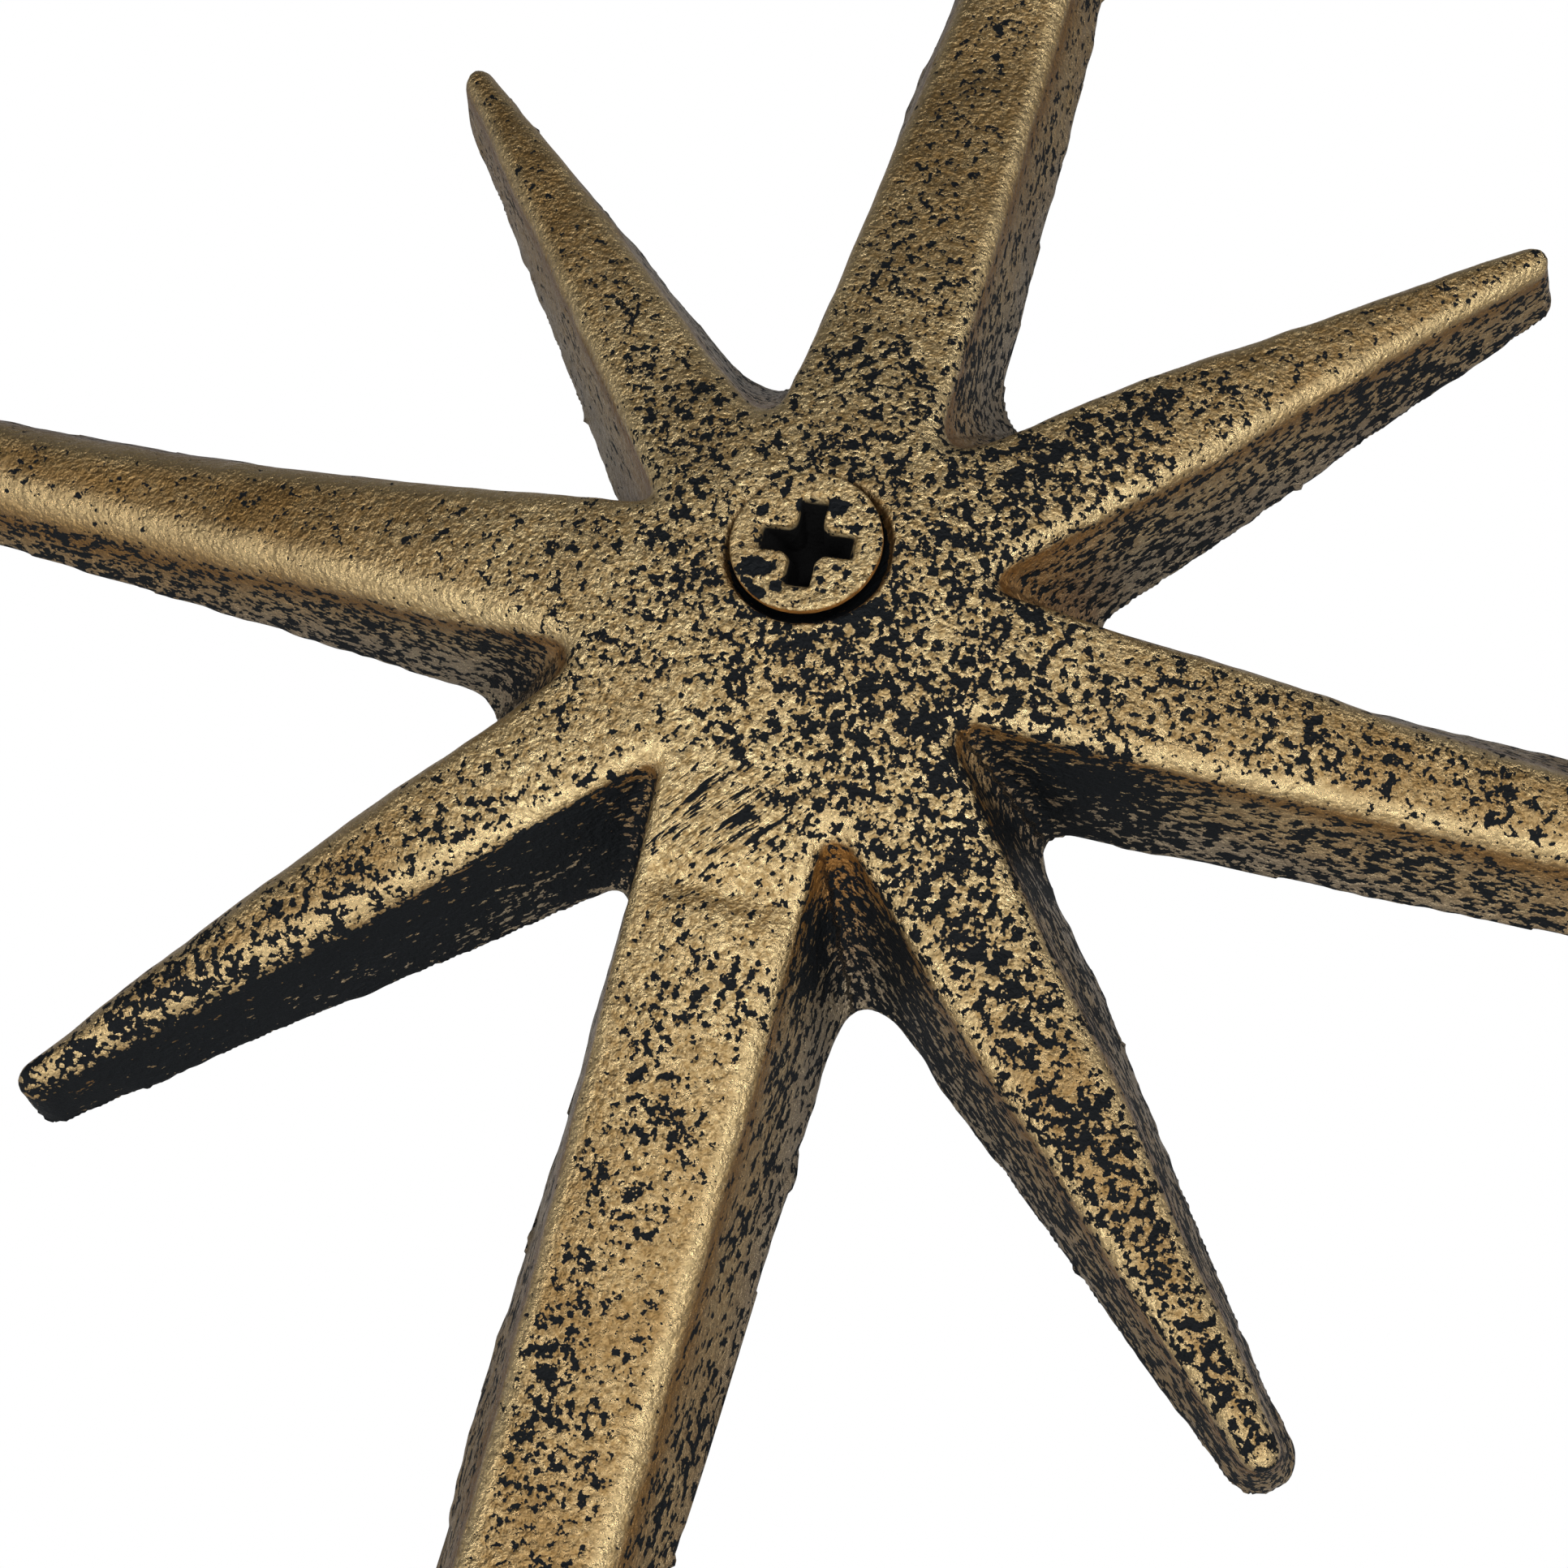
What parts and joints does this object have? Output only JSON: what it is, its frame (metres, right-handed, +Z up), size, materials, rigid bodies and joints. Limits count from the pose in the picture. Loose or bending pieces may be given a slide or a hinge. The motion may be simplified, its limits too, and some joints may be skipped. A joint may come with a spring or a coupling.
{
  "type": "sunburst wall ornament",
  "caption": "Sunburst wall ornament cast with long and short tapered rays round a crowned hub, held to the wall by a countersunk screw in a wall plug.",
  "frame": {"origin": "the fixing screw's axis where it meets the wall, in the plane of the casting's back", "axes": "+Y into the wall along the screw, the show face looks along -Y, +Z up, +X to the viewer's right"},
  "size_m": [0.196, 0.0402, 0.196],
  "materials": {
    "antique_gold_iron": "black base coat, dry-brushed antique gold, worn bright on edges",
    "screw_steel": "head painted over with the casting, shank bare zinc-plated steel",
    "nylon": "plain moulded grey nylon"
  },
  "bodies": {
    "anchor": {"wall_plug": "nylon"},
    "star": {"starburst_casting": "antique_gold_iron"},
    "screw": {"mounting_screw": "screw_steel"}
  },
  "joints": [
    {"name": "star_off_wall", "type": "slide", "parent": "anchor", "child": "star", "axis": [0, -1, 0], "range_m": [0, 0.0238]},
    {"name": "screw_turn", "type": "hinge", "parent": "star", "child": "screw", "pos_m": [0, 0, 0], "axis": [0, -1, 0], "range_deg": [0, 5045]}
  ],
  "couplings": [
    {"joint": "screw_turn", "follows": "star_off_wall", "rad_per_m": 3696}
  ]
}
